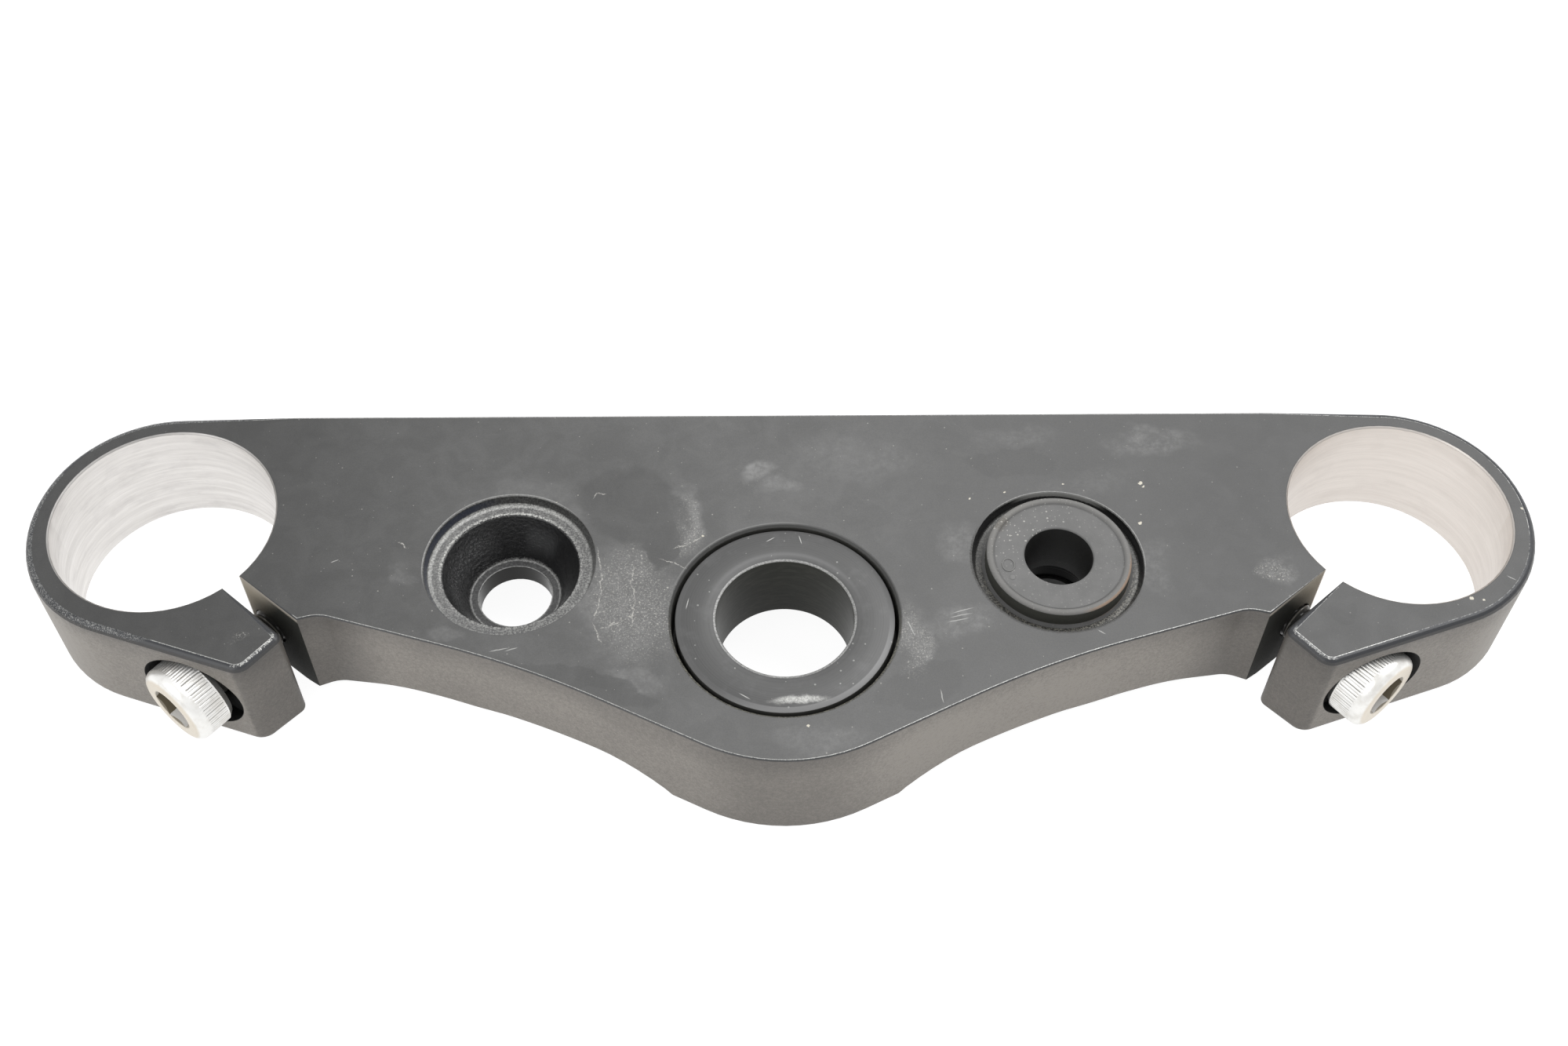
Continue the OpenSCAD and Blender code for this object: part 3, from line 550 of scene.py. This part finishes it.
    # Bare bore walls, turned
    bore = n.ramp(from_fork, 21.8, 21.9, 1.0, 0.0)
    streak = n.noise(n.xyz(n.mul(x, 0.05), n.mul(y, 0.05), n.mul(z, 0.9)), 1.3, 5, 0.65)
    smudge = n.noise(n.xyz(x, y, n.mul(z, 2.0)), 0.13, 4, 0.65)
    silver = n.mix(n.ramp(streak, 0.3, 0.7), (0.67, 0.65, 0.63), (0.79, 0.77, 0.75))
    silver = n.mix(n.ramp(smudge, 0.48, 0.72, 0.0, 0.26), silver, (0.45, 0.43, 0.42))
    silver = n.mix(n.ramp(x, -20.0, 20.0, 0.0, 0.5), silver, (0.7, 0.63, 0.57))
    bore_rim = n.ramp(z, 11.9, 11.98)
    silver = n.mix(n.mul(bore_rim, n.blend(left, 0.35, 0.55)), silver, (0.16, 0.155, 0.15))
    colour = n.mix(bore, colour, silver)

    rough = n.blend(steep, n.ramp(patchy, 0.3, 0.7, 0.4, 0.5), 0.5)
    rough = n.blend(n.mul(level, haze), rough, 0.62)
    rough = n.blend(rounding, rough, 0.3)
    rough = n.blend(in_socket, rough, n.blend(seat, 0.24, 0.45))
    rough = n.most(rough, n.mul(n.most(in_slot, in_counterbore), 0.8))
    rough = n.blend(bore, rough, 0.42)
    metallic = n.most(bore, n.mul(wear_and_glint, 0.5))

    on_cone = n.mul(in_socket, n.mul(n.ramp(from_riser, 13.0, 13.2, 1.0, 0.0), n.band(z, 1.6, 10.0, 0.2)))
    hammer = n.mul(skin, n.blend(left_sheen, 1.6, 6.0))
    height = n.add(n.mul(skin, n.mul(n.mul(steep, n.sub(1.0, in_socket)), 0.7)), n.mul(hammer, on_cone))
    height = n.mul(height, n.sub(1.0, bore))
    height = n.add(height, n.mul(n.mul(streak, bore), 0.08))
    height = n.add(height, n.mul(grain, 0.1))
    rounded = n.new("ShaderNodeBevel", {"Radius": 0.3 * MM}, samples=4).outputs[0]
    shine = n.sub(0.5, n.mul(n.mul(in_neck, in_socket), n.blend(left, 0.47, 0.3)))
    finish_surface(
        n, Base_Color=colour, Roughness=rough, Metallic=metallic, Specular_IOR_Level=shine,
        Normal=n.bump(height, 0.1 * MM, 1.0, rounded),
    )
    return material


def stem_material():
    material, n = new_material("dark_turned_steel")
    at, x, y, z = in_mm(n)
    plan = n.xyz(x, y, 0.0)
    radius = n.vec("LENGTH", plan)
    up = n.split(n.new("ShaderNodeNewGeometry").outputs["True Normal"])[2]
    turned = n.noise(n.xyz(radius, 0.0, n.mul(z, 0.6)), 3.5, 4, 0.7)
    cloud = n.noise(at, 0.25, 4, 0.65)
    fleck = n.ramp(n.noise(at, 2.4, 4, 0.8), 0.42, 0.58)
    face = n.mix(n.ramp(turned, 0.3, 0.7), (0.076, 0.076, 0.076), (0.094, 0.094, 0.093))
    face = n.mix(n.ramp(cloud, 0.5, 0.72, 0.0, 0.4), face, (0.13, 0.13, 0.13))
    # Painted highlight on the flange's outer bevel, toward the front right
    toward = n.vec("DOT_PRODUCT", plan, (0.5, -0.86, 0.0))
    outer = n.mul(n.ramp(radius, 19.4, 19.6), n.ramp(up, 0.3, 0.6))
    face = n.mix(n.mul(outer, n.ramp(toward, 6.0, 18.0, 0.12, 0.75)), face, (0.26, 0.26, 0.26))
    inner = n.mul(n.band(radius, 12.8, 13.4, 0.06), n.ramp(z, 11.3, 11.7))
    face = n.mix(n.mul(inner, n.blend(fleck, 0.3, 0.8)), face, (0.4, 0.4, 0.39))
    near_rim = n.mul(n.ramp(n.math("ABSOLUTE", n.sub(radius, 14.6)), 0.0, 0.9, 1.0, 0.0), n.ramp(y, 0.0, 12.0))
    face = n.mix(n.mul(near_rim, 0.35), face, (0.2, 0.2, 0.2))
    rubbed = n.spot(n.jitter(plan, 0.8, 1.2, 3), (2.4, -17.9), (6.5, 1.1), 0.06, 0.7)
    face = n.mix(n.mul(rubbed, n.blend(fleck, 0.5, 1.0)), face, (0.52, 0.52, 0.5))
    cuts = n.most_of(n.scratch(plan, a, b, 0.24) for a, b in STEM_SCRATCHES)
    face = n.mix(n.mul(cuts, 0.8), face, (0.55, 0.55, 0.53))
    bore = n.ramp(radius, STEM_R + 0.05, STEM_R + 0.15, 1.0, 0.0)
    banded = n.noise(n.xyz(x, y, n.mul(z, 4.0)), 0.3, 4, 0.6)
    wall = n.mix(n.ramp(banded, 0.4, 0.7), (0.042, 0.043, 0.037), (0.06, 0.061, 0.052))
    colour = n.mix(bore, face, wall)
    # The flange's side wall, down in the groove, is darkened as painted shade
    colour = n.mix(n.mul(n.ramp(radius, 20.0, 20.3), n.ramp(up, 0.6, 0.3)), colour, (0.06, 0.06, 0.055))
    colour = n.mix(n.mul(n.specks(plan, 2.4, 0.25, 0.3, 5.0), n.mul(0.5, n.sub(1.0, bore))), colour, (0.45, 0.45, 0.43))
    finish_surface(
        n, Base_Color=colour, Roughness=n.blend(bore, 0.42, 0.36), Metallic=n.blend(bore, 0.2, 0.0),
        Specular_IOR_Level=n.blend(bore, 0.5, 0.14), Normal=n.bump(n.mul(turned, 0.3), 0.05 * MM),
    )
    return material


def rubber_material():
    material, n = new_material("dusty_rubber")
    at, x, y, z = in_mm(n)
    plan = n.vec("SUBTRACT", n.xyz(x, y, 0.0), (*RISER, 0))
    radius = n.vec("LENGTH", plan)
    up = n.split(n.new("ShaderNodeNewGeometry").outputs["True Normal"])[2]
    cloud = n.noise(at, 0.3, 3, 0.6)
    grain = n.noise(at, 5.5, 4, 0.7)
    top = n.mix(n.ramp(cloud, 0.3, 0.7), (0.138, 0.138, 0.136), (0.163, 0.162, 0.16))
    top = n.mix(n.ramp(grain, 0.42, 0.72, 0.0, 0.3), top, (0.22, 0.22, 0.21))
    # The raised bead is paler all round; toward the back left it has dust specks and a painted highlight
    dust_and_highlight_side = n.ramp(n.vec("DISTANCE", plan, (-6.0, 7.0, 0.0)), 3.0, 13.0, 1.0, 0.2)
    bead = n.band(radius, 12.5, 13.75, 0.2)
    top = n.mix(n.mul(bead, n.blend(dust_and_highlight_side, 0.2, 0.45)), top, (0.27, 0.26, 0.24))
    gully = n.band(n.add(radius, n.mul(grain, 0.3)), 12.25, 12.6, 0.1)
    top = n.mix(n.mul(gully, n.ramp(y, RISER[1] - 4.0, RISER[1] - 12.0, 0.25, 0.7)), top, (0.05, 0.05, 0.048))
    dots = n.most(n.specks(plan, 1.5, 0.25, 0.45, 2.0), n.specks(plan, 0.8, 0.15, 0.35, 4.0))
    top = n.mix(n.mul(dots, n.mul(dust_and_highlight_side, 0.8)), top, (0.55, 0.54, 0.5))
    dirt = n.mul(n.spot(n.jitter(plan, 1.2, 1.5), (-10.4, 7.6), (1.6, 2.4), -0.6, 0.5), n.ramp(grain, 0.4, 0.6))
    top = n.mix(n.mul(dirt, 0.6), top, (0.09, 0.075, 0.05))
    rust_at = n.vec("DOT_PRODUCT", n.vec("NORMALIZE", plan), (0.8, -0.6, 0.0))
    rust = n.mul(n.band(n.add(radius, n.mul(n.sub(grain, 0.5), 0.6)), 13.4, 13.85, 0.12), n.ramp(rust_at, 0.75, 0.95))
    top = n.mix(n.mul(rust, 0.7), top, (0.36, 0.24, 0.16))
    side = n.ramp(n.math("ABSOLUTE", up), 0.25, 0.5, 1.0, 0.0)
    skirt = n.mix(n.ramp(grain, 0.5, 0.7, 0.0, 0.6), (0.036, 0.037, 0.031), (0.08, 0.075, 0.062))
    colour = n.mix(side, top, skirt)
    # Painted shade: the bush's bore and its faces down in the neck are near-black
    hole = n.ramp(radius, 6.55, 6.9, 1.0, 0.0)
    colour = n.mix(n.mul(hole, side), colour, (0.006, 0.006, 0.0055))
    colour = n.mix(n.mul(n.ramp(radius, 8.8, 9.0, 1.0, 0.0), n.band(z, -4.5, 3.5, 0.2)), colour, (0.012, 0.012, 0.011))

    raised = n.mul(n.ramp(z, HALF_T + BUSH_FACE + 0.03, HALF_T + BUSH_FACE + 0.1), n.ramp(radius, 12.0, 11.8))
    colour = n.mix(n.mul(raised, 0.4), colour, (0.26, 0.26, 0.25))
    finish_surface(
        n, Base_Color=colour, Roughness=n.ramp(grain, 0.3, 0.7, 0.52, 0.68),
        Normal=n.bump(n.mul(grain, 0.035), 1.0 * MM),
    )
    return material


def zinc_material():
    material, n = new_material("bright_zinc")
    at, x, y, z = in_mm(n)
    cloud = n.noise(at, 0.35, 3, 0.6)
    fine = n.noise(at, 4.0, 3, 0.6)
    head = n.vec("SUBTRACT", n.xyz(n.math("ABSOLUTE", x), y, 0.0), (*FORK, 0))
    front = n.ramp(x, -1.0, 1.0, HEAD_FRONT_N["left"], HEAD_FRONT_N["right"])
    depth = n.sub(front, n.vec("DOT_PRODUCT", head, (*SLOT_ACROSS, 0)))
    off_axis = n.vec("LENGTH", n.xyz(n.sub(n.vec("DOT_PRODUCT", head, (*SLOT_ALONG, 0)), SCREW_U), z, 0.0))
    colour = n.mix(n.ramp(cloud, 0.4, 0.7), (0.89, 0.885, 0.865), (0.76, 0.745, 0.71))
    colour = n.mix(n.ramp(depth, 0.02, 0.4, 0.9, 0.0), colour, (0.68, 0.61, 0.5))
    colour = n.mix(n.ramp(fine, 0.62, 0.8, 0.0, 0.25), colour, (0.6, 0.59, 0.57))
    # Painted shade in the bottoms of the knurl grooves
    groove = n.mul(
        n.ramp(off_axis, 8.05, 8.13, 1.0, 0.0),
        n.mul(n.band(depth, 2.5, 6.7, 0.1), n.ramp(off_axis, 7.6, 7.9)),
    )
    colour = n.mix(n.mul(groove, 0.9), colour, (0.2, 0.195, 0.185))
    # Hexagon socket: the facets that face up are painted bright as painted light, the others and the floor dark as
    # painted shade
    in_hexagon = n.mul(n.ramp(off_axis, 4.75, 4.9, 1.0, 0.0), n.ramp(depth, 0.05, 0.2))
    facing = n.split(n.new("ShaderNodeNewGeometry").outputs["True Normal"])[2]
    facet_light_and_shade = n.mix(n.ramp(facing, 0.7, 0.8), (0.2, 0.17, 0.12), (0.95, 0.94, 0.92))
    facet_light_and_shade = n.mix(n.ramp(depth, HEX_DEPTH - 0.4, HEX_DEPTH), facet_light_and_shade, (0.2, 0.17, 0.12))
    colour = n.mix(in_hexagon, colour, facet_light_and_shade)
    # The shank is painted near-black as painted shade, with its thread crests lighter as a painted highlight
    shank = n.ramp(depth, 8.2, 8.6)
    crest = n.ramp(off_axis, 3.75, 3.95)
    colour = n.mix(shank, colour, n.mix(crest, (0.03, 0.03, 0.028), (0.2, 0.19, 0.17)))
    finish_surface(
        n, Base_Color=colour, Metallic=n.mul(n.sub(1.0, in_hexagon), n.blend(shank, 0.7, 0.2)),
        Roughness=n.ramp(fine, 0.3, 0.7, 0.28, 0.38), Normal=n.bump(fine, 0.012 * MM),
    )
    return material


# ---------------------------------------------------------------- pieces
def mesh_piece(name, build, material, smooth_angle=40):
    """A mesh object from a function that fills a bmesh, in metres in the row frame."""
    bm = bmesh.new()
    build(bm)
    bmesh.ops.recalc_face_normals(bm, faces=bm.faces)
    mesh = bpy.data.meshes.new(name)
    bm.to_mesh(mesh)
    bm.free()
    mesh.shade_smooth()
    mesh.set_sharp_from_angle(angle=math.radians(smooth_angle))
    mesh.materials.append(material)
    piece = bpy.data.objects.new(name, mesh)
    bpy.context.scene.collection.objects.link(piece)
    return piece


def add_rings(bm, rings, closed_start=True, closed_end=True):
    """Quads between rings of the same count of points, with end caps."""
    made = [[bm.verts.new(p) for p in ring] for ring in rings]
    for a, b in zip(made, made[1:]):
        for i in range(len(a)):
            j = (i + 1) % len(a)
            bm.faces.new((a[i], a[j], b[j], b[i]))
    if closed_start:
        bm.faces.new(made[0][::-1])
    if closed_end:
        bm.faces.new(made[-1])
    return made


def polar(r, angle, z):
    return Vector((r * math.cos(angle), r * math.sin(angle), z))


HEAD_SEGMENTS = 360
SHANK_SEGMENTS = 48


def knurl(angle, share):
    """How far a knurl groove cuts in at an angle, times share."""
    phase = (angle * KNURLS / (2 * math.pi)) % 1
    return 0.17 * share * abs(2 * phase - 1) ** 2


def head_rings():
    """Head of a screw from the hexagon's floor over the front to the back face, along +Z."""
    steps = [2 * math.pi * i / HEAD_SEGMENTS for i in range(HEAD_SEGMENTS)]

    def hexagon(a):
        return HEX_W / 2 / math.cos((a % (math.pi / 3)) - math.pi / 6)

    def circle(r, z, share=0.0):
        return [polar(r - knurl(a, share), a, z) for a in steps]

    corner_r = HEX_W / math.sqrt(3) + 0.12
    rings = [circle(0.4, HEX_DEPTH + 0.9), circle(HEX_W / 2 - 0.1, HEX_DEPTH)]
    rings.append([polar(hexagon(a) - 0.02, a, HEX_DEPTH) for a in steps])
    rings.append([polar(hexagon(a), a, HEX_DEPTH - 0.1) for a in steps])
    rings.append([polar(hexagon(a), a, (corner_r - hexagon(a)) * 0.6) for a in steps])
    rings.append(circle(corner_r, 0.0))
    round_r = 1.9
    rings.append(circle(HEAD_R - round_r - 0.05, 0.0))
    for i in range(1, 7):
        a = math.pi / 2 * i / 6
        rings.append(circle(HEAD_R - round_r * (1 - math.sin(a)), round_r * (1 - math.cos(a))))
    for z, share in ((2.35, 0.0), (2.7, 1.0), (6.5, 1.0), (6.75, 0.3), (6.85, 0.0)):
        rings.append(circle(HEAD_R, z, share))
    rings.append(circle(HEAD_R - 0.12, 6.95))
    rings.append(circle(HEAD_R - 0.75, HEAD_H - 0.1))
    rings.append(circle(HEAD_R - 0.9, HEAD_H))
    return rings


def shank_rings():
    """Plain shank and helical thread under the head, along +Z."""
    angles = [2 * math.pi * i / SHANK_SEGMENTS for i in range(SHANK_SEGMENTS)]
    start, end = HEAD_H - 0.5, HEAD_H + SCREW_LEN
    rings = [[polar(SCREW_R - 0.15, a, start) for a in angles]]
    z = HEAD_H + PLAIN_SHANK
    rings.append([polar(SCREW_R - 0.15, a, z) for a in angles])
    step = THREAD_PITCH / 6
    while z < end - 0.9:
        z += step
        fade = min(1, (z - HEAD_H - PLAIN_SHANK) / THREAD_PITCH)
        ring = []
        for a in angles:
            phase = (z / THREAD_PITCH - a / (2 * math.pi)) % 1
            depth = THREAD_H * abs(2 * phase - 1)
            ring.append(polar(SCREW_R - 0.02 - depth * fade, a, z))
        rings.append(ring)
    rings.append([polar(SCREW_R - THREAD_H, a, end - 0.3) for a in angles])
    rings.append([polar(SCREW_R - 1.0, a, end) for a in angles])
    return rings


def screw_matrix(side):
    """Places a screw whose head's front is at the origin and whose tip points along +Z."""
    sign = -1 if side == "left" else 1
    across = Vector((*SLOT_ACROSS, 0))
    front = Vector((*FORK, 0)) + SCREW_U * Vector((*SLOT_ALONG, 0)) + HEAD_FRONT_N[side] * across
    axis = -across
    for v in (front, axis):
        v.x *= sign
    up = Vector((0, 0, 1))
    basis = Matrix((up.cross(axis), up, axis)).transposed()
    return Matrix.Scale(MM, 4) @ Matrix.Translation(front) @ basis.to_4x4()


def make_screw(side, material):
    place = screw_matrix(side)

    def build(bm):
        for rings in (head_rings(), shank_rings()):
            add_rings(bm, [[place @ p for p in ring] for ring in rings])

    piece = mesh_piece(f"pinch_screw_{side}", build, material, 24)
    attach(piece, "root")
    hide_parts(f"clamp_screw_{side}")


def make_stem_bush(material):
    """The flanged stem bush, with the shallow bevel and soft edges of a turned piece."""
    low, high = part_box("stem_bush")
    foot, top, outer = low[2] / MM, high[2] / MM, high[0] / MM
    shoulder = top - FLANGE_T
    outline = [
        (STEM_R + 0.4, foot), (SLEEVE_R, foot), (SLEEVE_R, shoulder), (outer, shoulder),
        (outer, top - 0.6), (outer - 0.08, top - 0.42), (outer - 0.22, top - 0.33),
        (outer - 1.0, top - 0.06), (outer - 1.15, top), (STEM_R + 0.45, top),
        (STEM_R + 0.2, top - 0.08), (STEM_R + 0.05, top - 0.22), (STEM_R, top - 0.45), (STEM_R, foot + 0.4),
    ]
    count = 240

    def build(bm):
        rings = [[polar(r, 2 * math.pi * i / count, z) * MM for i in range(count)] for r, z in outline]
        rings.append(rings[0])
        made = add_rings(bm, rings, False, False)
        bmesh.ops.remove_doubles(bm, verts=made[0] + made[-1], dist=1e-7)

    piece = mesh_piece("turned_stem_bush", build, material, 25)
    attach(piece, "root")
    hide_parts("stem_bush")


def raised_mark(bm, place):
    """A low ring and dot on the upper bush's face, where the real one has its mark."""
    ring_at, ring_half = (-9.8, -2.1), (1.15, 1.45)
    dot_at, dot_r, wire_r = (-9.3, -5.0), 0.6, 0.17
    count, around = 36, 8
    tube = []
    for i in range(count + 1):
        a = 2 * math.pi * i / count
        x, y = ring_at[0] + ring_half[0] * math.cos(a), ring_at[1] + ring_half[1] * math.sin(a)
        centre = Vector((x, y, BUSH_FACE))
        out = Vector((math.cos(a), math.sin(a), 0))
        turns = [2 * math.pi * j / around for j in range(around)]
        tube.append([place @ (centre + wire_r * (math.cos(b) * out + Vector((0, 0, math.sin(b))))) for b in turns])
    made = add_rings(bm, tube, False, False)
    bmesh.ops.remove_doubles(bm, verts=made[0] + made[-1], dist=1e-7)
    dome = []
    for b in (math.radians(d) for d in (-80, -40, 0, 30, 60, 85)):
        middle = Vector((*dot_at, BUSH_FACE + wire_r * math.sin(b)))
        dome.append([place @ (middle + polar(dot_r * math.cos(b), 2 * math.pi * i / 20, 0)) for i in range(20)])
    add_rings(bm, dome)


def make_bush(name, node, place, ledge_depth, material, marked=False):
    """A rubber bush over its socket's rim: a cone, and a collar with a raised round rim."""
    foot = 0.1 - ledge_depth
    cone = [(6.5, foot), (8.55, foot), (8.65, foot + 0.1), (13.05, -SEAT_DEPTH - 0.15), (13.1, -SEAT_DEPTH)]
    collar = [(14.35, -SEAT_DEPTH), (14.4, 0.1 - SEAT_DEPTH), (13.85, 0.65 - SEAT_DEPTH), (13.8, 0.9 - SEAT_DEPTH)]
    rim = [
        (13.8, 1.15), (13.77, 1.35), (13.66, 1.55), (13.45, 1.72), (13.2, 1.79), (12.95, 1.8),
        (12.75, 1.74), (12.55, 1.58), (12.4, 1.4), (12.3, 1.31), (12.2, BUSH_FACE),
    ]
    hole_edge = [(6.9, BUSH_FACE), (6.68, 1.2), (6.54, 1.0), (6.5, 0.7)]
    count = 144

    def build(bm):
        rings = [
            [place @ polar(r, 2 * math.pi * i / count, z) for i in range(count)]
            for r, z in cone + collar + rim + hole_edge
        ]
        rings.append(rings[0])
        made = add_rings(bm, rings, False, False)
        bmesh.ops.remove_doubles(bm, verts=made[0] + made[-1], dist=1e-7)
        if marked:
            raised_mark(bm, place)

    piece = mesh_piece(name, build, material, 35)
    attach(piece, "root")
    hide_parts(node)


def dress(node, material):
    """Gives a CAD node a material in each of its slots."""
    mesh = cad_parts[node].data
    for i in range(len(mesh.materials)):
        mesh.materials[i] = material


make_camera()
make_world()
make_floor()
area_lamp("key", (0.5, 0.5, 1.1), (0.9, 0.9), 9.0)
area_lamp("fill", (-0.7, -0.5, 0.8), (0.8, 0.8), 3.0)

zinc = zinc_material()
dress("clamp_body", body_material())
make_stem_bush(stem_material())
rubber = rubber_material()
at_upper_rim = Matrix.Scale(MM, 4) @ Matrix.Translation((*RISER, HALF_T))
at_lower_rim = Matrix.Scale(MM, 4) @ Matrix.Translation((*RISER, LOWER_RIM_Z)) @ Matrix.Diagonal((1, 1, -1, 1))
make_bush("rubber_bush_upper", "riser_bush_upper", at_upper_rim, UPPER_LEDGE, rubber, marked=True)
make_bush("rubber_bush_lower", "riser_bush_lower", at_lower_rim, LOWER_LEDGE, rubber)
make_screw("left", zinc)
make_screw("right", zinc)

scene = bpy.context.scene
scene.view_settings.view_transform = "Standard"

bpy.context.view_layer.update()
